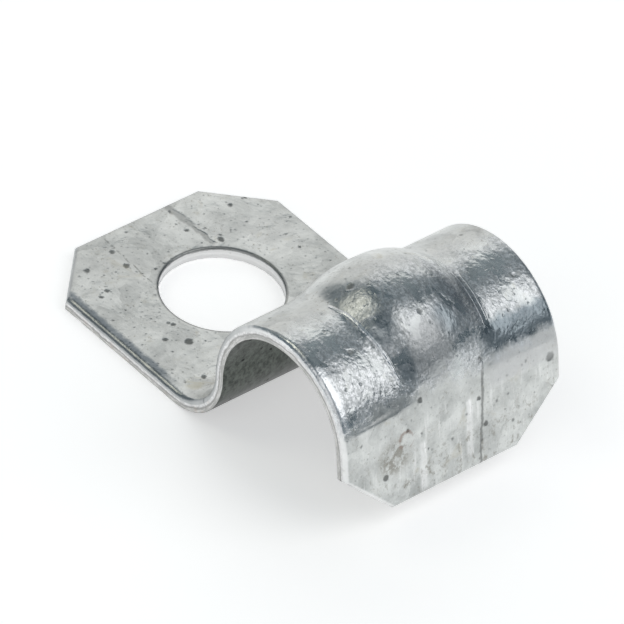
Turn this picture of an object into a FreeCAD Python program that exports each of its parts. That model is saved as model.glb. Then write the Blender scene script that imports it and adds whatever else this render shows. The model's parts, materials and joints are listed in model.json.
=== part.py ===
import FreeCAD, Part
import math
import os
import Sketcher

os.makedirs("parts", exist_ok=True)
doc = FreeCAD.newDocument("conduit_strap")

# Sizes in millimetres and degrees.
# X runs from the foot to the saddle, Y along the conduit, Z away from the wall.
# The middle of the screw hole on the underside of the foot is the zero point.
sizes = doc.addObject("Spreadsheet::Sheet", "sizes")
sizes.Label = "Strap sizes"
values = [
    ("strap_width", 19.0),
    ("sheet_thickness", 1.0),
    ("foot_length", 9.3),
    ("hole_radius", 4.37),
    ("foot_corner_along", 4.0),
    ("foot_corner_across", 4.0),
    ("heel_radius", 3.8),
    ("saddle_distance", 16.73),
    ("saddle_height", 5.85),
    ("conduit_radius", 5.8),
    ("leg_flare", 11.2),
    ("leg_length", 5.6),
    ("leg_corner_along", 3.75),
    ("leg_corner_across", 4.0),
    ("rib_height", 1.7),
    ("rib_rise", 2.3),
    ("rib_side_radius", 5.4),
    ("rib_offset", -0.4),
    ("rib_blend", 2.0),
    ("edge_roll_radius", 0.3),
]
size = {}
row = 1
for name, value in values:
    sizes.set("A%d" % row, name)
    sizes.set("B%d" % row, str(value))
    sizes.setAlias("B%d" % row, name)
    size[name] = value
    row += 1
doc.recompute()

body = doc.addObject("PartDesign::Body", "strap")
body.Label = "Conduit strap"


def vec(x, y, z=0.0):
    return FreeCAD.Vector(x, y, z)


def plane(role):
    for item in body.Origin.OriginFeatures:
        if item.Role == role:
            return item
    raise RuntimeError("no plane " + role)


def new_sketch(name, label, role):
    sketch = body.newObject("Sketcher::SketchObject", name)
    sketch.Label = label
    sketch.AttachmentSupport = [(plane(role), "")]
    sketch.MapMode = "FlatFace"
    return sketch


def rule(sketch, kind, *where):
    return sketch.addConstraint(Sketcher.Constraint(kind, *where))


def measure(sketch, text, kind, *where):
    index = rule(sketch, kind, *where)
    sketch.setExpression("Constraints[%d]" % index, text)
    return index


def arc(cx, cz, radius, first, last):
    circle = Part.Circle(vec(cx, cz), vec(0, 0, 1), radius)
    return Part.ArcOfCircle(circle, first, last)


START, END, CENTRE = range(1, 4)
X_AXIS, Y_AXIS = range(-1, -3, -1)
ZERO = (X_AXIS, START)

# Side view of the bent sheet: foot, heel bend, round saddle, free leg.
thick = size["sheet_thickness"]
heel_in = size["heel_radius"]
heel_out = heel_in + thick
saddle_in = size["conduit_radius"]
saddle_out = saddle_in + thick
sx = size["saddle_distance"]
sz = size["saddle_height"]
hz = heel_out
hx = sx - math.sqrt((saddle_out + heel_in) ** 2 - (sz - hz) ** 2)
lean = math.atan2(sz - hz, sx - hx)
flare = math.radians(size["leg_flare"])
leg = size["leg_length"]
foot_x = -size["foot_length"]


def polar(cx, cz, radius, angle):
    return vec(cx + radius * math.cos(angle), cz + radius * math.sin(angle))


wall_low = polar(hx, hz, heel_out, lean)
wall_top = polar(hx, hz, heel_in, lean)
leg_in = polar(sx, sz, saddle_in, flare)
leg_out = polar(sx, sz, saddle_out, flare)
down = vec(math.sin(flare) * leg, -math.cos(flare) * leg)

side = new_sketch("side_view", "Side view of the bent sheet", "XZ_Plane")
half_turn = math.pi
quarter = math.pi / 2
foot_low = side.addGeometry(Part.LineSegment(vec(foot_x, 0), vec(hx, 0)), False)
heel_low = side.addGeometry(arc(hx, hz, heel_out, -quarter, lean), False)
inner = side.addGeometry(arc(sx, sz, saddle_in, flare, half_turn + lean), False)
leg_low = side.addGeometry(Part.LineSegment(leg_in, leg_in + down), False)
leg_end = side.addGeometry(Part.LineSegment(leg_in + down, leg_out + down), False)
leg_top = side.addGeometry(Part.LineSegment(leg_out + down, leg_out), False)
outer = side.addGeometry(arc(sx, sz, saddle_out, flare, half_turn + lean), False)
heel_top = side.addGeometry(arc(hx, hz, heel_in, -quarter, lean), False)
foot_top = side.addGeometry(Part.LineSegment(vec(hx, thick), vec(foot_x, thick)), False)
foot_end = side.addGeometry(Part.LineSegment(vec(foot_x, thick), vec(foot_x, 0)), False)
centres = side.addGeometry(Part.LineSegment(vec(hx, hz), vec(sx, sz)), True)
leg_ray = side.addGeometry(Part.LineSegment(vec(sx, sz), leg_out), True)

rule(side, "Coincident", foot_low, END, heel_low, START)
rule(side, "Coincident", heel_low, END, inner, END)
rule(side, "Coincident", inner, START, leg_low, START)
rule(side, "Coincident", leg_low, END, leg_end, START)
rule(side, "Coincident", leg_end, END, leg_top, START)
rule(side, "Coincident", leg_top, END, outer, START)
rule(side, "Coincident", outer, END, heel_top, END)
rule(side, "Coincident", heel_top, START, foot_top, START)
rule(side, "Coincident", foot_top, END, foot_end, START)
rule(side, "Coincident", foot_end, END, foot_low, START)
rule(side, "PointOnObject", foot_low, START, X_AXIS)
rule(side, "Horizontal", foot_low)
rule(side, "Horizontal", foot_top)
rule(side, "Vertical", foot_end)
rule(side, "Coincident", heel_low, CENTRE, heel_top, CENTRE)
rule(side, "Coincident", inner, CENTRE, outer, CENTRE)
rule(side, "Vertical", heel_low, START, heel_low, CENTRE)
rule(side, "Vertical", heel_top, START, heel_top, CENTRE)
rule(side, "Coincident", centres, START, heel_low, CENTRE)
rule(side, "Coincident", centres, END, inner, CENTRE)
rule(side, "PointOnObject", heel_low, END, centres)
rule(side, "PointOnObject", heel_top, END, centres)
rule(side, "Coincident", leg_ray, START, inner, CENTRE)
rule(side, "Coincident", leg_ray, END, outer, START)
rule(side, "PointOnObject", inner, START, leg_ray)
rule(side, "Perpendicular", leg_low, leg_ray)
rule(side, "Perpendicular", leg_top, leg_ray)
rule(side, "Parallel", leg_end, leg_ray)
measure(side, "sizes.foot_length", "DistanceX", foot_low, START, *ZERO, -foot_x)
measure(side, "sizes.sheet_thickness", "DistanceY", foot_end, END, foot_end, START, thick)
measure(side, "sizes.heel_radius", "Radius", heel_top, heel_in)
measure(side, "sizes.saddle_distance", "DistanceX", *ZERO, outer, CENTRE, sx)
measure(side, "sizes.saddle_height", "DistanceY", *ZERO, outer, CENTRE, sz)
outside = "sizes.conduit_radius + sizes.sheet_thickness"
measure(side, outside, "Radius", outer, saddle_out)
measure(side, "sizes.leg_flare * 1 deg", "Angle", X_AXIS, START, leg_ray, START, flare)
measure(side, "sizes.leg_length", "Distance", leg_top, START, leg_top, END, leg)


def feature(kind, name, label):
    """A new step of the body. Face pieces stay apart, so the middle line is kept."""
    step = body.newObject("PartDesign::" + kind, name)
    step.Label = label
    step.Refine = False
    return step


# One half of the width, then its mirror image. The rib is pressed along the middle line,
# and the saddle wall on each side of that line carries the conduit.
side_half = feature("Pad", "bent_sheet_half", "Bent sheet, one half")
side_half.Profile = side
side_half.setExpression("Length", "sizes.strap_width / 2")
blank = feature("Mirrored", "bent_sheet", "Bent sheet strip")
blank.Originals = [side_half]
blank.MirrorPlane = (plane("XZ_Plane"), [""])
body.Tip = blank
doc.recompute()

# Screw hole through the foot.
hole = new_sketch("hole_outline", "Screw hole outline", "XY_Plane")
ring = hole.addGeometry(Part.Circle(vec(0, 0), vec(0, 0, 1), size["hole_radius"]), False)
rule(hole, "Coincident", ring, CENTRE, *ZERO)
measure(hole, "sizes.hole_radius", "Radius", ring, size["hole_radius"])
punch = feature("Pocket", "screw_hole", "Screw hole")
punch.Profile = hole
punch.Type = "ThroughAll"
punch.SideType = "Symmetric"


def corner(sketch, end_x, side_y, inward_x, inward_y, along, across):
    """One triangle cut off a corner, with its square corner on the sheet outline."""
    tip = vec(end_x, side_y)
    first = vec(end_x + inward_x, side_y)
    second = vec(end_x, side_y + inward_y)
    one = sketch.addGeometry(Part.LineSegment(tip, first), False)
    two = sketch.addGeometry(Part.LineSegment(first, second), False)
    three = sketch.addGeometry(Part.LineSegment(second, tip), False)
    rule(sketch, "Coincident", one, END, two, START)
    rule(sketch, "Coincident", two, END, three, START)
    rule(sketch, "Coincident", three, END, one, START)
    rule(sketch, "Horizontal", one)
    rule(sketch, "Vertical", three)
    if inward_x > 0:
        measure(sketch, along, "DistanceX", one, START, one, END, abs(inward_x))
    else:
        measure(sketch, along, "DistanceX", one, END, one, START, abs(inward_x))
    if inward_y > 0:
        measure(sketch, across, "DistanceY", three, END, three, START, abs(inward_y))
    else:
        measure(sketch, across, "DistanceY", three, START, three, END, abs(inward_y))
    return one


# The two cut corners of the foot.
half = size["strap_width"] / 2
along = size["foot_corner_along"]
across = size["foot_corner_across"]
foot_cut = new_sketch("foot_corners", "Foot corner cuts", "XY_Plane")
near = corner(foot_cut, foot_x, -half, along, across,
              "sizes.foot_corner_along", "sizes.foot_corner_across")
far = corner(foot_cut, foot_x, half, along, -across,
             "sizes.foot_corner_along", "sizes.foot_corner_across")
measure(foot_cut, "sizes.foot_length", "DistanceX", near, START, *ZERO, -foot_x)
measure(foot_cut, "sizes.foot_length", "DistanceX", far, START, *ZERO, -foot_x)
measure(foot_cut, "sizes.strap_width / 2", "DistanceY", near, START, *ZERO, half)
measure(foot_cut, "sizes.strap_width / 2", "DistanceY", *ZERO, far, START, half)
foot_snip = feature("Pocket", "foot_corner_cuts", "Foot corner cuts")
foot_snip.Profile = foot_cut
foot_snip.Type = "ThroughAll"
foot_snip.SideType = "Symmetric"

# The two cut corners of the leg, drawn on the slope of the leg
# from the line where the round saddle runs out into it.
low = -size["leg_length"]
along = size["leg_corner_along"]
across = size["leg_corner_across"]
leg_cut = new_sketch("leg_corners", "Leg corner cuts", "YZ_Plane")
leg_cut.AttachmentOffset = FreeCAD.Placement(
    vec(0, sz, sx), FreeCAD.Rotation(vec(-1, 0, 0), size["leg_flare"]))
leg_cut.setExpression("AttachmentOffset.Base.y", "sizes.saddle_height * 1 mm")
leg_cut.setExpression("AttachmentOffset.Base.z", "sizes.saddle_distance * 1 mm")
leg_cut.setExpression("AttachmentOffset.Rotation.Angle", "sizes.leg_flare * 1 deg")
near = corner(leg_cut, -half, low, across, along,
              "sizes.leg_corner_across", "sizes.leg_corner_along")
far = corner(leg_cut, half, low, -across, along,
             "sizes.leg_corner_across", "sizes.leg_corner_along")
measure(leg_cut, "sizes.strap_width / 2", "DistanceX", near, START, *ZERO, half)
measure(leg_cut, "sizes.strap_width / 2", "DistanceX", *ZERO, far, START, half)
measure(leg_cut, "sizes.leg_length", "DistanceY", near, START, *ZERO, -low)
measure(leg_cut, "sizes.leg_length", "DistanceY", far, START, *ZERO, -low)
leg_snip = feature("Pocket", "leg_corner_cuts", "Leg corner cuts")
leg_snip.Profile = leg_cut
leg_snip.Type = "Length"
leg_snip.Length = 3 * saddle_out
leg_snip.setExpression("Length", "3 * (sizes.conduit_radius + sizes.sheet_thickness)")
leg_snip.Reversed = True
doc.recompute()


close = 0.001


def on_outer_face(point):
    """True where a point lies on the upper and outer face of the bent sheet."""
    from_heel = math.hypot(point.x - hx, point.z - hz)
    from_saddle = math.hypot(point.x - sx, point.z - sz)
    from_ray = (point.x - sx) * math.cos(flare) + (point.z - sz) * math.sin(flare)
    if point.x <= hx:
        return abs(point.z - thick) < close
    return (abs(from_heel - heel_in) < close
            or abs(from_saddle - saddle_out) < close
            or abs(from_ray - saddle_out) < close)


# The punch rolls the upper edge of the sheet over, all round the outline and the hole.
rolled = []
leg_tip = (leg_out + down).x
for number, edge in enumerate(leg_snip.Shape.Edges, 1):
    half_way = (edge.FirstParameter + edge.LastParameter) / 2
    middle = edge.valueAt(half_way)
    across = abs(edge.tangentAt(half_way).y) > 1 - close
    between = foot_x + close < middle.x < leg_tip - close
    is_hole = edge.Curve.TypeId == "Part::GeomCircle" and middle.x < size["hole_radius"] + close
    bend_line = across and between and not is_hole
    middle_line = abs(middle.y) < close and not across
    if on_outer_face(middle) and not bend_line and not middle_line:
        rolled.append("Edge%d" % number)
roll = feature("Fillet", "rolled_edges", "Rolled upper edges")
roll.Base = (leg_snip, rolled)
roll.setExpression("Radius", "sizes.edge_roll_radius")
doc.recompute()


# The stiffening rib pressed outward over the saddle. Its ridge is a second, smaller
# circle whose axis stands above the saddle axis, so the rib rises from the heel side,
# is highest over the crest and runs out again above the leg.
def barrel(name, label, end_text, end_radius, side_text, side_radius):
    """Half side view of the rib: a bowed line turned round the rib axis."""
    sketch = new_sketch(name, label, "YZ_Plane")
    rise = sz + size["rib_rise"]
    sketch.AttachmentOffset = FreeCAD.Placement(
        vec(size["rib_offset"], rise, sx), FreeCAD.Rotation())
    sketch.setExpression("AttachmentOffset.Base.x", "sizes.rib_offset * 1 mm")
    sketch.setExpression("AttachmentOffset.Base.y",
                         "(sizes.saddle_height + sizes.rib_rise) * 1 mm")
    sketch.setExpression("AttachmentOffset.Base.z", "sizes.saddle_distance * 1 mm")
    lift = end_radius - side_radius
    reach = math.sqrt(side_radius ** 2 - lift ** 2)
    dip = math.atan2(lift, reach)
    base = sketch.addGeometry(Part.LineSegment(vec(-reach, 0), vec(reach, 0)), False)
    bow = sketch.addGeometry(
        arc(0, lift, side_radius, -dip, half_turn + dip), False)
    rule(sketch, "Coincident", base, END, bow, START)
    rule(sketch, "Coincident", bow, END, base, START)
    rule(sketch, "PointOnObject", base, START, X_AXIS)
    rule(sketch, "PointOnObject", base, END, X_AXIS)
    rule(sketch, "PointOnObject", bow, CENTRE, Y_AXIS)
    measure(sketch, side_text, "Radius", bow, side_radius)
    measure(sketch, end_text + " - (" + side_text + ")", "DistanceY",
            *ZERO, bow, CENTRE, lift)
    return sketch


ridge = saddle_out + size["rib_height"] - size["rib_rise"]
ridge_text = ("sizes.conduit_radius + sizes.sheet_thickness"
              " + sizes.rib_height - sizes.rib_rise")
rib_face = barrel("rib_outline", "Rib outline", ridge_text, ridge,
                  "sizes.rib_side_radius", size["rib_side_radius"])
rib = feature("Revolution", "rib", "Stiffening rib")
rib.Profile = rib_face
rib.ReferenceAxis = (rib_face, ["H_Axis"])
rib.Angle = 180
rib.Midplane = True
doc.recompute()

# Room for the conduit, cleared again under the rib.
channel_face = new_sketch("channel_outline", "Conduit channel outline", "XZ_Plane")
ring = channel_face.addGeometry(Part.Circle(vec(sx, sz), vec(0, 0, 1), saddle_in), False)
measure(channel_face, "sizes.saddle_distance", "DistanceX", *ZERO, ring, CENTRE, sx)
measure(channel_face, "sizes.saddle_height", "DistanceY", *ZERO, ring, CENTRE, sz)
measure(channel_face, "sizes.conduit_radius", "Radius", ring, saddle_in)
channel = feature("Pocket", "conduit_channel", "Conduit channel")
channel.Profile = channel_face
channel.Type = "ThroughAll"
channel.SideType = "Symmetric"

# The hollow behind the rib, one sheet thickness inside its outer face.
inside_text = ridge_text + " - sizes.sheet_thickness"
hollow_face = barrel("hollow_outline", "Rib hollow outline", inside_text, ridge - thick,
                     "sizes.rib_side_radius - sizes.sheet_thickness",
                     size["rib_side_radius"] - thick)
hollow = feature("Groove", "rib_hollow", "Hollow behind the rib")
hollow.Profile = hollow_face
hollow.ReferenceAxis = (hollow_face, ["H_Axis"])
hollow.Angle = 180
hollow.Midplane = True
doc.recompute()


def crease(solid, radius):
    """The edges of the closed line where the rib meets the round saddle."""
    found = []
    for number, edge in enumerate(solid.Shape.Edges, 1):
        flat = ("Part::GeomCircle", "Part::GeomLine")
        if edge.Curve.TypeId in flat:
            continue
        off = [math.hypot(p.x - sx, p.z - sz) - radius for p in edge.discretize(12)]
        if max(abs(value) for value in off) < 10 * close:
            found.append("Edge%d" % number)
    return found


# The creases round the rib are soft, outside and inside.
outer_blend = feature("Fillet", "rib_blend_outside", "Soft crease outside")
outer_blend.Base = (hollow, crease(hollow, saddle_out))
outer_blend.setExpression("Radius", "sizes.rib_blend")
doc.recompute()
inner_blend = feature("Fillet", "rib_blend_inside", "Soft crease inside")
inner_blend.Base = (outer_blend, crease(outer_blend, saddle_in))
inner_blend.setExpression("Radius", "sizes.rib_blend + sizes.sheet_thickness")
doc.recompute()

for item in doc.Objects:
    if "Invalid" in item.State or "Error" in item.State:
        raise RuntimeError(item.Name + " " + str(item.State))
    if item.TypeId.startswith("PartDesign") and item.Shape.isNull():
        raise RuntimeError(item.Name + " is empty")
    if item.TypeId.startswith("PartDesign") and not item.Shape.isValid():
        raise RuntimeError(item.Name + " is not valid")
    if item.TypeId == "Sketcher::SketchObject" and not item.FullyConstrained:
        raise RuntimeError(item.Name + " is not fully held")
if len(body.Shape.Solids) != 1:
    raise RuntimeError("the strap must stay one solid")

body.Shape.exportStep("parts/strap.step")
print("strap", round(body.Shape.Volume, 3), body.Shape.BoundBox)
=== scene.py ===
import json
import math

import bmesh
import bpy
from mathutils import Matrix, Vector, noise


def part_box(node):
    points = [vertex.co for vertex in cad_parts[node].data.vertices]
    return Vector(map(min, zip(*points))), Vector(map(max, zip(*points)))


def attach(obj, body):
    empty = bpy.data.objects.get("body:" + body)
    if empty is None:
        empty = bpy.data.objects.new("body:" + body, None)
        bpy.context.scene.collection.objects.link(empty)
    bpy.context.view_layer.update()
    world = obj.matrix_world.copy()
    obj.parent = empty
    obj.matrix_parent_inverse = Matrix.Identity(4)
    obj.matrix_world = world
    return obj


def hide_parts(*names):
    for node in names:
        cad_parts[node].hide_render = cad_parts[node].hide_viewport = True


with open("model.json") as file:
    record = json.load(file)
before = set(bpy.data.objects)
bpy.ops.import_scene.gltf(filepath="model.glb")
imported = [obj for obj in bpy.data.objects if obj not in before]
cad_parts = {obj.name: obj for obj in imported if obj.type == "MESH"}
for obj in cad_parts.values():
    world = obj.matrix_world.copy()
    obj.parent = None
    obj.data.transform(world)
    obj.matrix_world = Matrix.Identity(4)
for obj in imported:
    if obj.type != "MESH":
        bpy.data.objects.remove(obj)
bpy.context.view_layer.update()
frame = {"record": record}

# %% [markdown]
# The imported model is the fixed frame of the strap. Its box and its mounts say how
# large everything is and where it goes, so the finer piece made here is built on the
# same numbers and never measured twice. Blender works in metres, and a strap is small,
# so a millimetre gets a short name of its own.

MM = 0.001
cad_low, cad_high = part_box("strap")
mounts = {m["name"]: m for m in frame["record"]["mounts"]}
half_width = cad_high.y
foot_tip = cad_low.x
hole_radius = mounts["screw_hole"]["dims"]["r_mm"] * MM
conduit_radius = mounts["conduit_saddle"]["dims"]["r_mm"] * MM
saddle_x, _, saddle_z = mounts["conduit_saddle"]["pos_m"]
print("strap box", tuple(cad_low), tuple(cad_high), "hole", hole_radius)

# %% [markdown]
# The strap is one strip of zinc-coated sheet. It lies flat as the foot, turns up in the
# heel, goes over the conduit in the saddle and comes down as the free leg. Four runs
# describe it: a straight one, an arc turning up, an arc turning over and a straight one.
# The two arcs touch without a kink, and that alone gives the place of the heel.

# %% Sizes of the sheet and its bends
sheet = 1.0 * MM
heel_radius = 3.8 * MM
leg_length = 5.6 * MM
leg_flare = math.radians(11.2)
skin_radius = conduit_radius + sheet
heel_z = heel_radius + sheet
reach = skin_radius + heel_radius
heel_x = saddle_x - math.sqrt(reach ** 2 - (saddle_z - heel_z) ** 2)
heel_lean = math.atan2(saddle_z - heel_z, saddle_x - heel_x)
heel_turn = math.pi / 2 + heel_lean
saddle_turn = math.pi + heel_lean - leg_flare
leg_down = Vector((math.sin(leg_flare), 0, -math.cos(leg_flare)))
leg_out = Vector((math.cos(leg_flare), 0, math.sin(leg_flare)))
print("heel starts at", round(heel_x / MM, 3), "mm and turns", math.degrees(heel_turn))

# %% [markdown]
# Modelling operators act on whatever is selected. Three helpers keep that under control:
# one puts a single object in edit mode with nothing selected, one selects the parts of
# the mesh that pass a test of their place, and one applies an object's modifiers.


# %% Selection helpers
def edit(piece):
    """Put one object in edit mode with nothing selected."""
    if bpy.context.object and bpy.context.object.mode == "EDIT":
        bpy.ops.object.mode_set(mode="OBJECT")
    bpy.ops.object.select_all(action="DESELECT")
    piece.select_set(True)
    bpy.context.view_layer.objects.active = piece
    bpy.ops.object.mode_set(mode="EDIT")
    bpy.ops.mesh.select_all(action="DESELECT")


def pick(piece, kind, test):
    """Select the points, edges or faces of the edited mesh whose place passes the test."""
    bpy.ops.mesh.select_all(action="DESELECT")
    mesh = bmesh.from_edit_mesh(piece.data)
    bpy.ops.mesh.select_mode(type={"verts": "VERT", "edges": "EDGE", "faces": "FACE"}[kind])
    count = 0
    for part in getattr(mesh, kind):
        if test(part):
            part.select_set(True)
            count += 1
    bmesh.update_edit_mesh(piece.data)
    return count


def apply_all(piece):
    """Apply every modifier of an object in order."""
    if piece.mode == "EDIT":
        bpy.ops.object.mode_set(mode="OBJECT")
    bpy.ops.object.select_all(action="DESELECT")
    piece.select_set(True)
    bpy.context.view_layer.objects.active = piece
    for modifier in list(piece.modifiers):
        bpy.ops.object.modifier_apply(modifier=modifier.name)


# %% [markdown]
# The skin is the upper and outer face of the strap. A plane makes the foot, and its two
# far corners are cut off with bisect, as the press cuts them from the strip. It could
# be a drawn outline too, but a plane and two cuts keep the edges straight and few.

# %% The foot of the skin
foot_corner = (4.0 * MM, 4.0 * MM)
bpy.ops.object.select_all(action="DESELECT")
bpy.ops.mesh.primitive_plane_add(size=2)
strap = bpy.context.object
strap.name = "strap_sheet"
edit(strap)
bpy.ops.mesh.select_all(action="SELECT")
bpy.ops.transform.resize(value=((heel_x - foot_tip) / 2, half_width, 1))
bpy.ops.transform.translate(value=((heel_x + foot_tip) / 2, 0, sheet))
for way in (-1, 1):
    bpy.ops.mesh.select_all(action="SELECT")
    bpy.ops.mesh.bisect(
        plane_co=(foot_tip + foot_corner[0], way * half_width, sheet),
        plane_no=Vector((-1 / foot_corner[0], way / foot_corner[1], 0)).normalized(),
        clear_outer=True)
print("foot from", round(foot_tip / MM, 2), "to", round(heel_x / MM, 2), "mm")

# %% [markdown]
# The free edge of the foot is swept round the axis of each bend with the spin operator:
# the heel turns up about an axis above the foot, and the saddle turns over about the
# conduit. Small steps keep the saddle round where light slides over it. The leg is one
# straight extrusion, and its two corners are cut off as those of the foot are.


# %% The heel, the saddle and the leg
def crosses_at(place):
    """A test for the edge that runs across the strip at a place."""
    def test(edge):
        along = edge.verts[1].co - edge.verts[0].co
        middle = (edge.verts[0].co + edge.verts[1].co) / 2
        return abs(along.y) > half_width and (middle - place).length < 0.01 * MM
    return test


def on_leg(face):
    """True for a face of the leg, below the saddle."""
    middle = face.calc_center_median()
    return (middle - leg_top).dot(leg_down) > 0.01 * MM and middle.x > saddle_x


heel_steps, saddle_steps = 32, 112
leg_corner = (3.75 * MM, 4.0 * MM)
saddle_centre = Vector((saddle_x, 0, saddle_z))
leg_top = saddle_centre + leg_out * skin_radius
leg_tip = leg_top + leg_down * leg_length
pick(strap, "edges", crosses_at(Vector((heel_x, 0, sheet))))
bpy.ops.mesh.spin(steps=heel_steps, angle=heel_turn, center=(heel_x, 0, heel_z), axis=(0, 1, 0))
bpy.ops.mesh.spin(steps=saddle_steps, angle=saddle_turn, center=saddle_centre, axis=(0, -1, 0))
bpy.ops.mesh.extrude_region_move(TRANSFORM_OT_translate={"value": leg_down * leg_length})
for way in (-1, 1):
    pick(strap, "faces", on_leg)
    bpy.ops.mesh.bisect(
        plane_co=leg_tip - leg_down * leg_corner[0] + Vector((0, way * half_width, 0)),
        plane_no=(leg_down / leg_corner[0] + Vector((0, way / leg_corner[1], 0))).normalized(),
        clear_outer=True)
print("leg tip at", [round(v / MM, 2) for v in leg_tip])

# %% [markdown]
# Spin leaves doubled points where one sweep ends and the next begins, and it may turn
# the faces over. Both are put right before the skin gets its thickness, because the
# thickness grows away from the side that the faces look to.

# %% Clean the skin
bpy.ops.mesh.select_all(action="SELECT")
bpy.ops.mesh.remove_doubles(threshold=0.001 * MM)
bpy.ops.mesh.normals_make_consistent(inside=False)
mesh = bmesh.from_edit_mesh(strap.data)
if min(mesh.faces, key=lambda f: f.calc_center_median().x).normal.z < 0:
    bpy.ops.mesh.flip_normals()
bpy.ops.object.mode_set(mode="OBJECT")
print("skin", len(strap.data.polygons), "faces")

# %% [markdown]
# Solidify gives the skin its wall, inwards, so the outer face stays where it was and
# the inside of the saddle gets the radius of the conduit.

# %% The thickness of the sheet
solid = strap.modifiers.new("sheet", "SOLIDIFY")
solid.thickness = sheet
solid.offset = -1
solid.use_even_offset = True
apply_all(strap)
print("sheet", [round(v / MM, 2) for v in strap.dimensions])

# %% [markdown]
# Later steps need to know where a point of the sheet lies on the flat blank: how far
# along it is, how far across, and how deep under the skin. The four runs give that
# exactly, so one function unrolls the strap. It is used to pick edges, to place marks,
# and at last as the coordinates that the zinc finish is painted in.

# %% Unroll the sheet
middle_heel = heel_radius + sheet / 2
middle_saddle = conduit_radius + sheet / 2
heel_length = heel_turn * middle_heel
saddle_length = saddle_turn * middle_saddle
leg_start = heel_x + heel_length + saddle_length


def unroll(place):
    """Length along the blank, width across it and depth under the skin, of a point."""
    x, y, z = place
    down_leg = (place - leg_top).dot(leg_down)
    if x > saddle_x and down_leg > 0:
        return Vector((leg_start + down_leg, y, (leg_top - place).dot(leg_out)))
    if x < heel_x:
        return Vector((x, y, sheet - z))
    turned = math.atan2(x - heel_x, heel_z - z)
    from_heel = math.hypot(x - heel_x, z - heel_z)
    if turned < heel_turn and from_heel < heel_radius + 1.5 * sheet:
        return Vector((heel_x + turned * middle_heel, y, from_heel - heel_radius))
    angle = math.atan2(x - saddle_x, z - saddle_z)
    from_saddle = math.hypot(x - saddle_x, z - saddle_z)
    along = heel_x + heel_length + (angle + heel_turn) * middle_saddle
    return Vector((along, y, skin_radius - from_saddle))


blank_length = leg_start + leg_length - foot_tip
print("flat blank", round(blank_length / MM, 2), "by", round(2 * half_width / MM, 2), "mm")

# %% [markdown]
# A punched hole isn't a clean cylinder. The punch shears the upper part of the wall and
# the rest breaks away, a little wider and rough. The cutter is a cylinder in rings, and
# its lower rings are pushed outwards by noise, so the cut wall has that break.

# %% The punch for the screw hole
punch_sides = 144
shear_depth = 0.42 * MM
break_rings, ring_gap = 7, 0.11 * MM
break_width, break_reach = 0.06 * MM, 0.3 * MM
bpy.ops.object.select_all(action="DESELECT")
bpy.ops.mesh.primitive_cylinder_add(vertices=punch_sides, radius=hole_radius,
                                    depth=3 * sheet, location=(0, 0, sheet / 2))
punch = bpy.context.object
punch.name = "punch"
bpy.ops.object.transform_apply(location=True)
edit(punch)
for ring in range(break_rings):
    bpy.ops.mesh.select_all(action="SELECT")
    level = sheet - shear_depth - ring * ring_gap
    bpy.ops.mesh.bisect(plane_co=(0, 0, level), plane_no=(0, 0, 1))
bpy.ops.object.mode_set(mode="OBJECT")
for v in punch.data.vertices:
    under = sheet - shear_depth - v.co.z
    if under > 0.01 * MM:
        grain = noise.noise(v.co / MM * 1.6) + 0.6 * noise.noise(v.co / MM * 5)
        widen = break_width * min(1, under / break_reach) * (1 + 0.8 * grain)
        v.co += Vector((v.co.x, v.co.y, 0)).normalized() * widen
print("punch", len(punch.data.vertices), "points, radius", round(hole_radius / MM, 2), "mm")

# %% [markdown]
# Boolean takes the punch out of the sheet. The exact solver is the slower one, but it
# leaves no loose faces where the noisy rings meet the flat underside.

# %% Punch the hole
cut = strap.modifiers.new("screw hole", "BOOLEAN")
cut.object = punch
cut.solver = "EXACT"
apply_all(strap)
bpy.data.objects.remove(punch, do_unlink=True)
print("punched", len(strap.data.polygons), "faces")

# %% [markdown]
# The press rolls the upper rim of the blank and of the hole over, and leaves a small
# burr below. Both rims are bevelled in edit mode, each picked by its depth. A bevel in
# edit mode can be given a width for each set of edges, which one modifier can't do.

# %% Roll the rims
edge_roll, hole_roll, burr = 0.42 * MM, 0.14 * MM, 0.05 * MM
hole_zone = 5 * MM


def rim_at(low, high):
    """A test for sharp rim edges whose two ends lie between two depths."""
    def test(edge):
        depths = [unroll(v.co).z for v in edge.verts]
        return len(edge.link_faces) == 2 and edge.calc_face_angle(0) > math.radians(50) \
            and low <= min(depths) and max(depths) <= high
    return test


def round_off(width, segments):
    """Bevel the selected edges to a round of a width."""
    bpy.ops.mesh.bevel(offset=width, segments=segments, profile=0.5, clamp_overlap=False)


edit(strap)
bpy.ops.mesh.select_all(action="SELECT")
bpy.ops.mesh.remove_doubles(threshold=0.002 * MM)
top_rim = rim_at(-0.01 * MM, 0.01 * MM)
rolled = pick(strap, "edges", lambda e: top_rim(e) and e.verts[0].co.xy.length > hole_zone)
round_off(edge_roll, 6)
pick(strap, "edges", lambda e: top_rim(e) and e.verts[0].co.xy.length < hole_zone)
round_off(hole_roll, 4)
burred = pick(strap, "edges", rim_at(0.99 * MM, 1.01 * MM))
round_off(burr, 2)
print("rims", rolled, "rolled", burred, "burred")

# %% [markdown]
# The wall between the two rims is still one tall face at each step. Ring cuts give it
# five levels, so it shades evenly where it follows the bends and the corners.

# %% Levels in the cut wall
wall_levels = 5


def across_wall(edge):
    """True for an edge that goes through the thickness at the outline of the blank."""
    ends = [unroll(v.co) for v in edge.verts]
    return abs(ends[0].z - ends[1].z) > 0.35 * MM and Vector(ends[0].xy).length > 6 * MM


walls = pick(strap, "edges", across_wall)
bpy.ops.mesh.subdivide_edgering(number_cuts=wall_levels, interpolation="LINEAR")
print("wall edges", walls)

# %% [markdown]
# The bead over the saddle needs points to move, so the sheet is sliced across and along
# with bisect. On the flats the slices only keep the faces small and nearly square. They
# run through the whole thickness, which keeps the inside and the outside in step.

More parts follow.
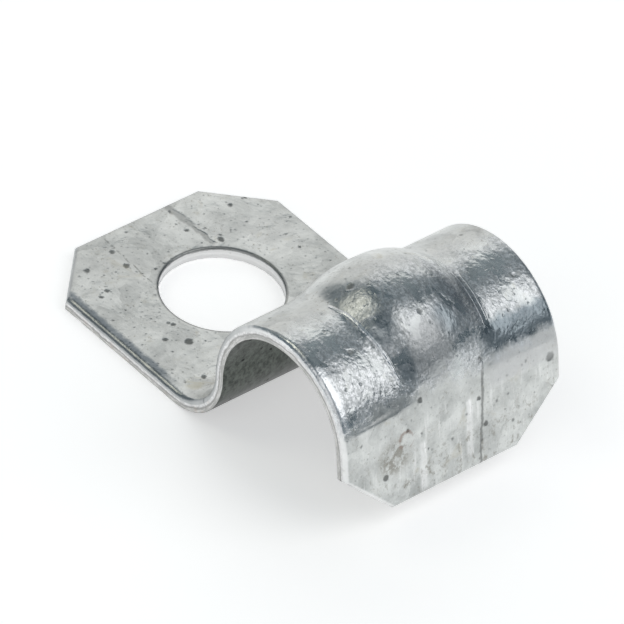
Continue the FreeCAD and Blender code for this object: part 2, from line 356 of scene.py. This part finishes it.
# %% Slice the sheet
across_step = 0.38 * MM
along_step = 0.42 * MM
slices = int(half_width / across_step)
for number in range(-slices, slices + 1):
    bpy.ops.mesh.select_all(action="SELECT")
    bpy.ops.mesh.bisect(plane_co=(0, number * across_step, 0), plane_no=(0, 1, 0))
for number in range(1, int((heel_x - foot_tip) / along_step)):
    pick(strap, "faces", lambda f: f.calc_center_median().x < heel_x)
    bpy.ops.mesh.bisect(plane_co=(foot_tip + number * along_step, 0, 0), plane_no=(1, 0, 0))
for number in range(1, int(leg_length / along_step)):
    pick(strap, "faces", on_leg)
    bpy.ops.mesh.bisect(plane_co=leg_top + leg_down * number * along_step, plane_no=leg_down)
bpy.ops.object.mode_set(mode="OBJECT")
print("sliced to", len(strap.data.polygons), "faces")

# %% [markdown]
# While the sheet is still plain, every point stores its place on the flat blank. The
# attribute stays with the point when the bead is pressed, so the finish stretches with
# the metal as it does on the real strap.

# %% Store the place on the blank
blank = strap.data.attributes.new("blank", "FLOAT_VECTOR", "POINT")
for v in strap.data.vertices:
    blank.data[v.index].vector = unroll(v.co) / MM
print("stored", len(blank.data), "places")

# %% [markdown]
# The bead is a round swelling that the press leaves over the crest. Along the saddle it
# follows a ring about a higher axis, so it is highest at the crest and dies out on both
# flanks. Across the strip it is a bow that ends in a crease on each side, and the two
# creases draw together a little as they go down. A soft corner joins it to the saddle.

# %% The rise of the bead
bead_height = 1.7 * MM
bead_axis_up = 2.3 * MM
bead_y = -0.3 * MM
near_crease = (4.35 * MM, 0.19)
far_crease = (4.55 * MM, 0.08)
bead_squareness = 2.5
inside_narrower = 0.4


def bead_rise(place, wall, blend):
    """How far the bead stands out of the saddle over a point of the sheet."""
    angle = math.atan2(place.x - saddle_x, place.z - saddle_z)
    base = skin_radius - wall
    ring = base + bead_height - bead_axis_up
    under = ring ** 2 - (bead_axis_up * math.sin(angle)) ** 2
    if under <= 0 or math.cos(angle) < 0.2:
        return 0.0
    rise = bead_axis_up * math.cos(angle) + math.sqrt(under) - base
    half, narrowing = near_crease if place.y < bead_y else far_crease
    half = half * (1 - narrowing * angle ** 2) - inside_narrower * wall
    if rise > 0:
        rise *= 1 - (abs(place.y - bead_y) / half) ** bead_squareness
    soft = max(blend - abs(rise), 0) / blend
    return max(rise, 0) + soft * soft * blend / 4


crest = Vector((saddle_x, bead_y, saddle_z + skin_radius))
print("rise at the crest", round(bead_rise(crest, 0, 0.42 * MM) / MM, 3), "mm")

# %% [markdown]
# Displace pushes each point along its normal by a painted weight, once outwards for the
# skin and once inwards for the hollow. It could be sculpted, but weights that are worked
# out keep the sheet one thickness and the bead the same each time.

# %% Press the bead
full_weight = 1.1 * bead_height
same_side = 0.1 * MM
for name, wall, blend_height in (("outside", 0, 0.42 * MM), ("inside", sheet, 0.8 * MM)):
    group = strap.vertex_groups.new(name=name)
    strongest = 0
    for v in strap.data.vertices:
        if v.co.z <= saddle_z or abs(v.co.y) >= half_width - sheet:
            continue
        if abs(unroll(v.co).z - wall) < same_side:
            rise = bead_rise(v.co, wall, blend_height)
            if rise > 0:
                group.add([v.index], rise / full_weight, "REPLACE")
                strongest = max(strongest, rise)
    press = strap.modifiers.new(name, "DISPLACE")
    press.vertex_group = name
    press.direction = "NORMAL"
    press.mid_level = 0
    press.strength = full_weight if wall == 0 else -full_weight
    print("bead", name, round(strongest / MM, 3), "mm")
apply_all(strap)
strap.vertex_groups.clear()
print("top at", round(max(v.co.z for v in strap.data.vertices) / MM, 3), "mm")

# %% [markdown]
# The bends and the bead should look round, and the burr should stay a crisp line. Faces
# that meet at less than fifty degrees are shaded as one surface, and the Weighted Normal
# modifier lets the large faces lead, so the flats stay flat right up to the rolled rim.

# %% Smooth the faces
bpy.ops.object.select_all(action="DESELECT")
strap.select_set(True)
bpy.context.view_layer.objects.active = strap
bpy.ops.object.shade_smooth_by_angle(angle=math.radians(50))
even = strap.modifiers.new("even shading", "WEIGHTED_NORMAL")
even.keep_sharp = True
apply_all(strap)
print("finished sheet", len(strap.data.polygons), "faces")

# %% [markdown]
# Hot-dip zinc is never one grey. The melt freezes in soft clouds and feathered crystals,
# picks up specks of dross, and is scuffed by the press and by other parts in the box.
# The finish is built up like that, layer over layer, in the coordinates of the flat blank, in
# millimetres, and painted highlights, reflections and shade are laid into its colour too. A few
# short helpers keep the chains of nodes readable.

# %% Node helpers
zinc = bpy.data.materials.new("galvanised_steel_finish")
zinc.use_nodes = True
shader = zinc.node_tree.nodes["Principled BSDF"]


def add(kind, wires, tree=zinc.node_tree, **settings):
    """Add a node, set it up and wire or set its inputs."""
    node = tree.nodes.new(kind)
    for name, value in settings.items():
        setattr(node, name, value)
    for name, value in wires.items():
        if isinstance(value, bpy.types.NodeSocket):
            tree.links.new(value, node.inputs[name])
        else:
            node.inputs[name].default_value = value
    return node


def calc(operation, *values):
    """The result of a Math node."""
    return add("ShaderNodeMath", dict(enumerate(values)), operation=operation).outputs[0]


def chain(operation, values):
    """Several values put together two at a time by one operation."""
    result = values[0]
    for value in values[1:]:
        result = calc(operation, result, value)
    return result


def times(*values):
    """The product of masks: only where all of them are."""
    return chain("MULTIPLY", values)


def plus(*values):
    """The sum of values."""
    return chain("ADD", values)


def most(*values):
    """The largest of several masks: where any of them is."""
    return chain("MAXIMUM", values)


def fade(value, low, high):
    """0 where the value is at low, 1 where it is at high, smooth in between."""
    wires = {"Value": value, "From Min": low, "From Max": high}
    return add("ShaderNodeMapRange", wires, interpolation_type="SMOOTHSTEP").outputs["Result"]


print("finish", zinc.name)

# %% [markdown]
# Colours are laid like coats: each mask says where the next coat goes and how thick it
# is. The place on the blank comes from the stored attribute, split into along, across
# and depth, and soft noise on that place stands for everything that has no plan.


# %% Coats and clouds
def blend(share, under, over, kind="MIX"):
    """The colour under, with the colour over laid on it by a share."""
    wires = {"Factor": share, 6: under, 7: over}
    return add("ShaderNodeMix", wires, data_type="RGBA", blend_type=kind).outputs[2]


def coat(under, mask, strength, colour):
    """A colour laid where the mask is, at a strength from 0 to 1."""
    return blend(times(mask, strength), under, colour)


def grey(level, green=0.0, blue=0.0):
    """A grey with a little green or blue in it."""
    return (level, level * (1 + green), level * (1 + blue), 1)


def cloud(scale, detail=4.0, rough=0.55, warp=0.0, stretch=(1, 1, 1)):
    """Soft noise on the blank, with its features 1/scale mm apart."""
    spread = add("ShaderNodeMapping", {"Vector": on_blank, "Scale": stretch}).outputs[0]
    wires = {"Vector": spread, "Scale": scale, "Detail": detail,
             "Roughness": rough, "Distortion": warp}
    return add("ShaderNodeTexNoise", wires).outputs[0]


def nudge(vector, scale, detail):
    """A place pushed aside by coloured noise, up to one millimetre each way."""
    push = add("ShaderNodeTexNoise", {"Vector": vector, "Scale": scale, "Detail": detail})
    return add("ShaderNodeVectorMath", {0: vector, 1: push.outputs["Color"]},
               operation="ADD").outputs[0]


on_blank = add("ShaderNodeAttribute", {}, attribute_name="blank").outputs["Vector"]
along, across, depth = add("ShaderNodeSeparateXYZ", {"Vector": on_blank}).outputs
skin = fade(depth, 0.3, 0.1)
upper_half = fade(depth, 0.5, 0.2)
print("places read at", len(strap.data.attributes["blank"].data), "points")

# %% [markdown]
# The zinc itself is a pale grey with a trace of green. Wide clouds and feathered
# crystals change it by a few percent, and a fine grain keeps it from looking like paint.
# The crystals are Voronoi cells on a place that noise has frayed.

# %% Clouds and crystals
crystal = add("ShaderNodeTexVoronoi", {"Vector": nudge(on_blank, 0.9, 4.0), "Scale": 0.42},
              feature="F1")
crystal_tone = add("ShaderNodeSeparateColor", {"Color": crystal.outputs["Color"]}).outputs[0]
wide = cloud(0.25, 4, 0.6, 0.5)
patch = cloud(0.6, 5, 0.6, 0.9)
fine = cloud(2.6, 6, 0.7)
grit = cloud(9.0, 3, 0.7)
tone = plus(times(wide, 0.30), times(crystal_tone, 0.09), times(patch, 0.34),
            times(fine, 0.20), times(grit, 0.12))
dull_zinc, bright_zinc = grey(0.38, 0.035, 0.02), grey(0.76, 0.02, 0.00)
colour_with_painted_light = blend(fade(tone, 0.30, 0.72), dull_zinc, bright_zinc)
print("zinc from", dull_zinc[0], "to", bright_zinc[0])

# %% [markdown]
# Dross leaves dark round specks, from a hair's width to half a millimetre. Small specks
# could be placed one by one, but a Voronoi texture scatters them evenly enough: each
# cell's own colour decides whether it has a speck and how large it is. Their outlines
# are shaken a little. The inside gets its own specks, because its places are moved far
# along the blank by how deep they lie.

# %% A shaken place for spots
shake = 0.28
shaken = add("ShaderNodeMix", {"Factor": shake, 4: on_blank, 5: nudge(on_blank, 3.2, 3.0)},
             data_type="VECTOR").outputs[1]
side = calc("ROUND", depth)
side_shift = add("ShaderNodeCombineXYZ", {"X": times(side, 57.3), "Y": times(side, 21.7)})
shaken = add("ShaderNodeVectorMath", {0: shaken, 1: side_shift.outputs[0]},
             operation="ADD").outputs[0]
no_depth = (1, 1, 0)
shaken_flat = add("ShaderNodeVectorMath", {0: shaken, 1: no_depth},
                  operation="MULTIPLY").outputs[0]


def away_from(at, start=shaken):
    """How far a point is from a place on the blank, in millimetres."""
    return add("ShaderNodeVectorMath", {0: start, 1: (*at, 0)},
               operation="DISTANCE").outputs["Value"]


def blot(at, radius):
    """A soft ragged patch of the skin round a place on the blank, in millimetres."""
    return fade(away_from(at), radius, radius * 0.35)


print("spots shaken by up to", shake, "mm")

# %% [markdown]
# The largest specks are lumps of dross that the eye picks out, so they are listed one by one,
# with their radius. Three sizes of scattered specks fill the rest.


# %% Specks of dross
def specks(cell, smallest, largest, share):
    """Dark specks between two radii, at most one in a cell of the given size."""
    spots = add("ShaderNodeTexVoronoi", {"Vector": shaken, "Scale": 1 / cell},
                feature="F1", voronoi_dimensions="2D")
    luck = add("ShaderNodeSeparateColor", {"Color": spots.outputs["Color"]}).outputs
    size = calc("MULTIPLY_ADD", calc("POWER", luck[1], 2.5), largest - smallest, smallest)
    edge = calc("SUBTRACT", times(spots.outputs["Distance"], cell), size)
    return times(fade(edge, 0.09, -0.07), calc("GREATER_THAN", luck[0], 1 - share))


lumps = (
    (3.0, -5.45, 0.30), (-4.1, 3.3, 0.24), (-5.6, -3.9, 0.22), (-7.3, -3.85, 0.17),
    (-6.6, 6.2, 0.18), (1.0, -5.2, 0.16), (-4.0, -7.45, 0.15), (6.4, -6.9, 0.2),
    (32.3, 8.5, 0.34), (30.9, -2.9, 0.2), (30.2, 2.5, 0.2))
large_specks = specks(3.0, 0.07, 0.22, 0.40)
for lump_along, lump_across, radius in lumps:
    away = away_from((lump_along + shake / 2, lump_across + shake / 2), shaken_flat)
    large_specks = most(large_specks, fade(away, radius + 0.08, radius - 0.1))
small_specks = specks(1.3, 0.02, 0.11, 0.45)
dust = specks(0.45, 0.0, 0.05, 0.5)
dross = most(large_specks, times(small_specks, 0.75), times(dust, 0.45))
colour_with_painted_light = coat(colour_with_painted_light, dross, 0.75, grey(0.12, 0.06, 0.03))
print(len(lumps), "lumps placed by hand")

# %% [markdown]
# Marks of the press and of handling run along the strip, because the strip is pulled
# that way. Each is a stroke between two places on the blank, with a wavering middle and
# soft ends. Dark strokes are grooves full of dirt, and a broken one is a scratch.


# %% Dark strokes of the press
def stroke(start, end, width, waver=0.2, broken=0.0):
    """A mark on the skin from one place on the blank to another, in millimetres."""
    sway = times(calc("SUBTRACT", cloud(0.8, 3, 0.7), 0.5), waver * 2)
    slope = (end[1] - start[1]) / (end[0] - start[0])
    middle = plus(calc("MULTIPLY_ADD", along, slope, start[1] - slope * start[0]), sway)
    off = calc("ABSOLUTE", calc("SUBTRACT", across, middle))
    mark = times(fade(off, width, width * 0.3),
                 fade(along, start[0] - 0.15, start[0] + 0.3),
                 fade(along, end[0] + 0.15, end[0] - 0.3))
    if broken:
        mark = times(mark, fade(cloud(1.7, 3, 0.8), broken, broken + 0.12))
    return times(mark, skin)


die_line = stroke((29.9, 2.65), (38.3, 2.1), 0.16, 0.3)
drag = most(stroke((-9.6, 2.35), (-6.2, 2.6), 0.45, 0.35),
            stroke((-6.6, 2.55), (-3.9, 2.6), 0.26, 0.35))
hairline = stroke((-8.8, -3.35), (-3.2, -3.6), 0.09, 0.25, 0.42)
colour_with_painted_light = coat(colour_with_painted_light, die_line, 0.7, grey(0.16, 0.05, 0.03))
colour_with_painted_light = coat(colour_with_painted_light, drag, 0.6, grey(0.24, 0.04, 0.03))
colour_with_painted_light = coat(colour_with_painted_light, hairline, 0.6, grey(0.14, 0.05, 0.03))
print("die line down the leg, drag mark and hairline on the foot")

# %% [markdown]
# Pale strokes along the creases beside the bead, where the tool has bitten, are painted
# highlights. The scuffs on the leg are fresh metal, which break up in streaks along the strip.

# %% Pale strokes and scuffs
# The crease lines get painted highlights; they also lift the relief a little.
creases_painted_bright = most(stroke((22.6, -4.75), (29.6, -4.0), 0.15, 0.12),
               stroke((24.6, 4.15), (28.6, 3.9), 0.09, 0.12),
               stroke((24.8, 4.6), (28.2, 4.35), 0.08, 0.12))
colour_with_painted_light = coat(colour_with_painted_light, creases_painted_bright, 0.8, grey(0.95))
streaks = fade(cloud(1.0, 4, 0.6, 0, (0.35, 3.2, 1.0)), 0.54, 0.74)
scuffs = times(most(stroke((33.9, -2.80), (37.7, -2.85), 0.48, 0.1),
                    stroke((32.4, 1.3), (37.0, 1.25), 0.42, 0.1)),
               calc("MULTIPLY_ADD", streaks, 0.9, 0.55))
leg_streaks = times(streaks, fade(along, 31.0, 33.0), skin, 0.5)
colour_with_painted_light = coat(colour_with_painted_light, most(scuffs, leg_streaks), 0.75, grey(0.97))
print("creases, two scuffs and the streaks of the leg")

# %% [markdown]
# Damp leaves faint brown and yellow stains, and dirt darkens the low end of the leg.
# One corner of the foot has dried paler than the other. Beside the near rim lies a ragged dark
# band of painted reflection.

# %% Stains, and a painted reflection by the rim
colour_with_painted_light = coat(colour_with_painted_light, blot((-2.6, 6.4), 3.6), 0.22, grey(0.85, 0.01, 0.0))
colour_with_painted_light = coat(colour_with_painted_light, blot((-6.4, -4.2), 4.2), 0.28, grey(0.36, 0.02, 0.0))
colour_with_painted_light = coat(colour_with_painted_light, fade(cloud(0.55, 5, 0.7, 0.8), 0.56, 0.74), 0.32, (0.40, 0.36, 0.25, 1))
smudge = fade(cloud(1.0, 5, 0.75, 0.4, (1.0, 1.5, 1.0)), 0.52, 0.68)
dirt = most(times(smudge, fade(along, 32.5, 36.5)),
            times(blot((34.3, -5.2), 1.9), fade(cloud(1.3, 5, 0.8), 0.42, 0.55)))
colour_with_painted_light = coat(colour_with_painted_light, dirt, 0.8, grey(0.26, -0.04, -0.16))
flecks = times(fade(cloud(3.6, 3, 0.7), 0.57, 0.67), fade(cloud(0.5, 3, 0.6), 0.45, 0.60))
colour_with_painted_light = coat(colour_with_painted_light, flecks, 0.5, (0.24, 0.22, 0.18, 1))
rub_radius = 0.62
rub = calc("ABSOLUTE", calc("SUBTRACT", away_from((33.35, -4.1)), rub_radius))
rub = times(fade(rub, 0.2, 0.05), fade(cloud(1.3, 2, 0.5), 0.42, 0.55))
colour_with_painted_light = coat(colour_with_painted_light, rub, 0.6, (0.27, 0.20, 0.17, 1))
heel_stain = times(fade(away_from((6.8, -7.7)), 1.0, 0.5), fade(patch, 0.40, 0.60))
colour_with_painted_light = coat(colour_with_painted_light, heel_stain, 0.5, (0.45, 0.42, 0.30, 1))
# A ragged dark blue-grey band beside the near rim: painted reflection.
from_rim = plus(across, half_width / MM - 0.45)
inset = calc("MULTIPLY_ADD", cloud(1.1, 5, 0.75), 0.9, from_rim)
rim_painted_reflection = times(fade(inset, 0.15, 0.40), fade(inset, 0.95, 0.55),
               fade(along, -8.8, -5.0), fade(along, 6.5, 4.0), skin)
colour_with_painted_light = coat(colour_with_painted_light, rim_painted_reflection, 0.75, (0.12, 0.15, 0.18, 1))
print("rub mark", rub_radius, "mm in radius")

# %% [markdown]
# The cut edges are another surface. Under the rolled rim the shear has burnished a
# bright strip, and below it the metal has torn: paler, rougher and streaked through the
# thickness. A dark line parts the two, and a little rust starts where zinc is missing.

# %% Cut edges
wall = times(fade(depth, 0.34, 0.46), fade(depth, 0.985, 0.95))
ragged = calc("MULTIPLY_ADD", cloud(1.1, 4, 0.7), 0.35, depth)
torn = times(wall, fade(ragged, 0.74, 0.84))
parting = times(wall, fade(ragged, 0.70, 0.77), fade(ragged, 0.90, 0.82))
# The rolled rim gets a painted reflection: dark blue-grey along the foot, a white painted
# highlight along the saddle.
rolled_skin = times(fade(depth, 0.015, 0.10), fade(depth, 0.46, 0.36))
rolled_rim_reflection = blend(fade(along, 17.0, 22.0), grey(0.42, 0.03, 0.06), grey(0.97))
colour_with_painted_light = coat(colour_with_painted_light, rolled_skin, 0.6, rolled_rim_reflection)
shear_colour = blend(fade(cloud(2.0, 4, 0.7), 0.35, 0.65), grey(0.62), grey(0.86))
colour_with_painted_light = blend(wall, colour_with_painted_light, shear_colour)
torn_grain = fade(cloud(2.0, 4, 0.7, 0, (0.5, 0.5, 3.0)), 0.40, 0.65)
torn_colour = blend(torn_grain, grey(0.52, 0.0, -0.03), (0.80, 0.79, 0.78, 1))
colour_with_painted_light = blend(torn, colour_with_painted_light, torn_colour)
colour_with_painted_light = coat(colour_with_painted_light, parting, 0.5, grey(0.22, -0.02, -0.05))
rust = times(wall, fade(cloud(0.7, 3, 0.6), 0.56, 0.70))
colour_with_painted_light = coat(colour_with_painted_light, rust, 0.25, (0.62, 0.46, 0.38, 1))
print("cut edges in two bands")

# %% [markdown]
# The wall of the screw hole was cut by the punch and stayed pale and clean. Its rolled rim is
# darkened in a broken ring, which outlines the hole.

# %% The wall of the hole
hole_place = add("ShaderNodeVectorMath", {0: on_blank, 1: no_depth}, operation="MULTIPLY")
from_hole = add("ShaderNodeVectorMath", {0: hole_place.outputs[0]},
                operation="LENGTH").outputs["Value"]
hole_wall = fade(from_hole, 4.75, 4.55)
colour_with_painted_light = coat(colour_with_painted_light, times(hole_wall, fade(depth, 0.10, 0.2)), 1.0, grey(0.7))
ring_depth = calc("MULTIPLY_ADD", cloud(1.4, 4, 0.75), 0.35, depth)
ring = times(hole_wall, fade(ring_depth, 0.42, 0.34), fade(from_hole, 4.62, 4.50))
colour_with_painted_light = coat(colour_with_painted_light, times(hole_wall, wall), 0.8, grey(0.76))
colour_with_painted_light = coat(colour_with_painted_light, ring, 0.65, grey(0.16, 0.03, 0.02))
print("hole", round(2 * hole_radius / MM, 2), "mm across")

# %% [markdown]
# The inside of the strap is dull, and painted dark and greenish as shade, since little light
# reaches under the arch. The painted shade is darkest low in the heel, where no light gets in,
# and its specks are nearly black.

# %% The painted shade inside
inner = fade(depth, 0.96, 0.99)
under_arch = times(inner, fade(along, 5.5, 7.5), fade(along, 37.5, 33.0))
painted_shade = blend(fade(fine, 0.3, 0.7), grey(0.045, 0.18, 0.02), grey(0.16, 0.12, 0.0))
painted_shade = blend(fade(along, 13.0, 9.0), painted_shade, grey(0.025, 0.10, 0.02))
painted_shade = coat(painted_shade, dross, 0.8, grey(0.02))
colour_with_painted_light = coat(colour_with_painted_light, under_arch, 0.95, painted_shade)
print("inside oiled from 5.5 to 37.5 mm along the blank")

# %% [markdown]
# The tool has burnished the bend, so it is glossier than the flats. Where it pressed hard the
# zinc is smooth and dark, and in between it has cracked into small facets. Their sparkle comes
# partly from their relief and partly from pale specks, painted glints in the colour. These masks
# steer colour, gloss and relief together, so the three agree.

# %% Where the tool bent the zinc
ragged_along = calc("MULTIPLY_ADD", cloud(0.7, 4, 0.7), 4.0, along)
bent = times(fade(ragged_along, 23.5, 26.5), fade(ragged_along, 33.0, 31.8), upper_half)
pressed = fade(cloud(0.62, 3, 0.6, 0.3), 0.50, 0.58)
frosted = times(bent, calc("SUBTRACT", 1.0, times(pressed, 0.85)))
# Pale specks on the facets are painted glints.
painted_glint = calc("MULTIPLY_ADD", cloud(3.4, 3, 0.7), 0.6, times(grit, 0.4))
colour_with_painted_light = coat(colour_with_painted_light, frosted, 0.55, grey(0.36, 0.02, 0.03))
colour_with_painted_light = coat(colour_with_painted_light, times(frosted, fade(painted_glint, 0.44, 0.58)), 0.72, grey(0.88))
print("bend frosted between about 21 and 31 mm")

# %% [markdown]
# On top of that lie a painted highlight along the rolled rim, a strip and spots of painted dark
# reflection where the tool burnished the zinc smooth, and a matt strip on the far side where the
# saddle passes into the leg. The painted crease highlights are laid again, so they stay bright.

# %% Polish marks, painted highlights and painted reflections
# A painted highlight along the rolled rim of the saddle.
rim_painted_highlight = stroke((26.3, -9.05), (31.0, -9.05), 0.42, 0.08)
colour_with_painted_light = coat(colour_with_painted_light, rim_painted_highlight, 0.85, grey(0.97))
ragged_low = calc("MULTIPLY_ADD", cloud(0.9, 4, 0.7), 1.4, along)
far_side = fade(across, 2.4, 4.2)
# Painted dark reflection: smooth burnished zinc shown dark in its colour.
burnished_dark_reflection = times(fade(ragged_low, 28.7, 29.5), fade(ragged_low, 31.2, 30.6), far_side, 0.8)
dark_reflection_spots = (
    ((28.4, 6.9), 1.0, 0.15), ((27.4, 0.9), 1.5, 0.7), ((29.15, -3.1), 0.9, 0.6),
    ((25.9, -3.1), 0.9, 0.5), ((26.7, -3.7), 0.9, 0.5))
for at, radius, strength in dark_reflection_spots:
    burnished_dark_reflection = most(burnished_dark_reflection, times(blot(at, radius), strength))
colour_with_painted_light = blend(burnished_dark_reflection, colour_with_painted_light, (0.17, 0.21, 0.235, 1))
# The painted crease highlights, laid again.
colour_with_painted_light = coat(colour_with_painted_light, creases_painted_bright, 0.7, grey(0.97))
matted = times(far_side, fade(ragged_low, 30.7, 31.4), fade(along, 32.7, 32.1), upper_half)
colour_with_painted_light = coat(colour_with_painted_light, matted, 0.55, grey(0.88))
worn = times(fade(away_from((28.3, -1.2), on_blank), 2.6, 1.0), upper_half)
colour_with_painted_light = coat(colour_with_painted_light, worn, 0.6, grey(0.36, 0.0, -0.01))
cool_tint = (0.96, 0.99, 1.02, 1)
colour_with_painted_light = blend(times(bent, 0.8), colour_with_painted_light, cool_tint, "MULTIPLY")
print(len(dark_reflection_spots), "burnished spots")

# %% [markdown]
# Relief decides how the reflection breaks up. It is a Bump node and not geometry,
# because all of it together is a few hundredths of a millimetre. Wide swells bend the
# reflection, facets scatter it, and specks and grooves are dents.

# %% Relief of the skin
facets = add("ShaderNodeTexVoronoi", {"Vector": on_blank, "Scale": 4.2, "Detail": 1.0},
             feature="F1")
frost = calc("MULTIPLY_ADD", cloud(7.0, 2, 0.5), 0.20, times(facets.outputs["Distance"], 0.15))
ripple = times(cloud(1.5, 2, 0.45, 0.2), calc("MULTIPLY_ADD", bent, 0.36, 0.18))
swell = times(wide, 2.4)
height = plus(times(frost, calc("MULTIPLY_ADD", frosted, 0.72, 0.15)), ripple, swell, creases_painted_bright)
dents = plus(times(dross, 0.5), times(most(die_line, drag), 0.5))
relief = 0.06 * MM
bump = add("ShaderNodeBump", {"Height": calc("SUBTRACT", height, dents),
                              "Strength": 1.0, "Distance": relief})
print("relief", round(relief / MM, 3), "mm for a height of 1")

# %% [markdown]
# Gloss follows wear. Pressed metal is smoothest, rubbed and matt places are rougher,
# and dross and torn metal are roughest of all.

# %% Gloss of the skin
rough = calc("MULTIPLY_ADD", fine, 0.14, 0.25)
rough = calc("MULTIPLY_ADD", worn, 0.10, rough)
rough = calc("SUBTRACT", rough, times(bent, pressed, 0.10))
rough = calc("MULTIPLY_ADD", matted, 0.25, rough)
rough = plus(rough, times(most(dross, torn), 0.25))
zinc.node_tree.links.new(colour_with_painted_light, shader.inputs["Base Color"])
zinc.node_tree.links.new(rough, shader.inputs["Roughness"])
zinc.node_tree.links.new(bump.outputs[0], shader.inputs["Normal"])
shader.inputs["Metallic"].default_value = 1
print("finish of", len(zinc.node_tree.nodes), "nodes")

# %% [markdown]
# The finished sheet takes the place of the imported solid. It rides on the part's only body,
# stands for the strap there, and takes the zinc material made above.

# %% Put the strap in place
strap.data.materials.clear()
strap.data.materials.append(zinc)
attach(strap, "root")
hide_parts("strap")
print("strap in place with", len(strap.data.materials), "material")

# %% [markdown]
# The camera looks at the strap from above its leg and its near rim, a little turned
# about its own axis, through a long lens that keeps the edges parallel.

# %% The camera
azimuth = math.radians(45.524)
elevation = math.radians(40.172)
roll = math.radians(6.596)
distance = 0.5057
aim = Vector((9.585, -0.612, 6.0)) * MM
turn = Matrix.Rotation(azimuth, 4, "Z") @ Matrix.Rotation(math.pi / 2 - elevation, 4, "X") \
    @ Matrix.Rotation(roll, 4, "Z")
lens = bpy.data.cameras.new("camera")
lens.lens = 433.4
lens.sensor_width = 36
lens.clip_start = 0.01
camera = bpy.data.objects.new("camera", lens)
camera.matrix_world = Matrix.Translation(aim + turn @ Vector((0, 0, distance))) @ turn
bpy.context.scene.collection.objects.link(camera)
bpy.context.scene.camera = camera
print("camera at", [round(v / MM, 2) for v in camera.matrix_world.translation])

# %% [markdown]
# The strap stands on a plain pale floor. A small glow that only the camera and mirrored
# rays see lifts the floor to paper white and leaves the soft shadow of the strap on it.
# It lies a hair under the foot, so the two surfaces never fight for the same place.

# %% The floor
floor_size = 3
floor_gap = 0.01 * MM
floor_lift = 0.50
bpy.ops.object.select_all(action="DESELECT")
bpy.ops.mesh.primitive_plane_add(size=floor_size, location=(0, 0, -floor_gap))
floor = bpy.context.object
floor.name = "floor"
pale = bpy.data.materials.new("pale_floor")
pale.use_nodes = True
ground = pale.node_tree
plain = ground.nodes["Principled BSDF"]
plain.inputs["Base Color"].default_value = (0.9, 0.9, 0.9, 1)
plain.inputs["Roughness"].default_value = 0.9
plain.inputs["Emission Color"].default_value = (1, 1, 1, 1)
ray = ground.nodes.new("ShaderNodeLightPath").outputs
seen = ray["Is Camera Ray"]
for kind in ("Is Glossy Ray", "Is Transmission Ray"):
    seen = add("ShaderNodeMath", {0: seen, 1: ray[kind]}, ground, operation="MAXIMUM").outputs[0]
lift = add("ShaderNodeMath", {0: seen, 1: floor_lift}, ground, operation="MULTIPLY")
ground.links.new(lift.outputs[0], plain.inputs["Emission Strength"])
floor.data.materials.append(pale)
print("floor", floor_size, "m wide,", floor_gap / MM, "mm under the foot")

# %% [markdown]
# Metal shows what stands round it, so the studio is as much a part of the finish as the
# zinc. It is a dim blue-grey room with soft panels, each a patch of light round a
# direction, full up to one angle from it and gone at another. Lamps would do it too, but
# patches of the world have soft edges and lie at no distance, so they look the same
# from every point of the strap. The gaps between them give the dark bands over the saddle.

# %% The studio
world = bpy.data.worlds.new("studio")
bpy.context.scene.world = world
world.use_nodes = True
sky = world.node_tree
looking = sky.nodes.new("ShaderNodeTexCoord").outputs["Generated"]
panels = {
    "haze over the crest": ((-0.36, 0.53, 0.76), 8, 30, (0.27, 0.31, 0.33)),
    "behind the foot": ((-0.80, 0.52, 0.30), 28, 36, (1.2, 1.2, 1.18)),
    "low behind the foot": ((-0.84, 0.53, 0.05), 20, 38, (0.86, 0.86, 0.85)),
    "overhead": ((0.38, 0.12, 0.92), 8, 20, (1.25, 1.25, 1.23)),
    "over the bead": ((-0.45, -0.42, 0.79), 8, 17, (1.6, 1.57, 1.36)),
    "over the leg": ((0.58, 0.40, 0.70), 18, 28, (1.55, 1.55, 1.55)),
    "before the rim": ((0.35, -0.80, 0.45), 20, 36, (0.9, 0.9, 0.9)),
    "behind the rim": ((-0.10, 1.0, 0.05), 10, 30, (0.12, 0.14, 0.16)),
}
glow = (0.115, 0.150, 0.175, 1)
for way, full, gone, colour in panels.values():
    facing = add("ShaderNodeVectorMath", {0: looking, 1: Vector(way).normalized()}, sky,
                 operation="DOT_PRODUCT").outputs["Value"]
    edges = {"Value": facing, "From Min": math.cos(math.radians(gone)),
             "From Max": math.cos(math.radians(full))}
    share = add("ShaderNodeMapRange", edges, sky, interpolation_type="SMOOTHSTEP")
    mixed = {"Factor": share.outputs["Result"], 6: glow, 7: (*colour, 1)}
    glow = add("ShaderNodeMix", mixed, sky, data_type="RGBA").outputs[2]
sky.links.new(glow, sky.nodes["Background"].inputs["Color"])
sky.nodes["Background"].inputs["Strength"].default_value = 1
bpy.context.scene.view_settings.view_transform = "Standard"
print("studio with", len(panels), "panels")
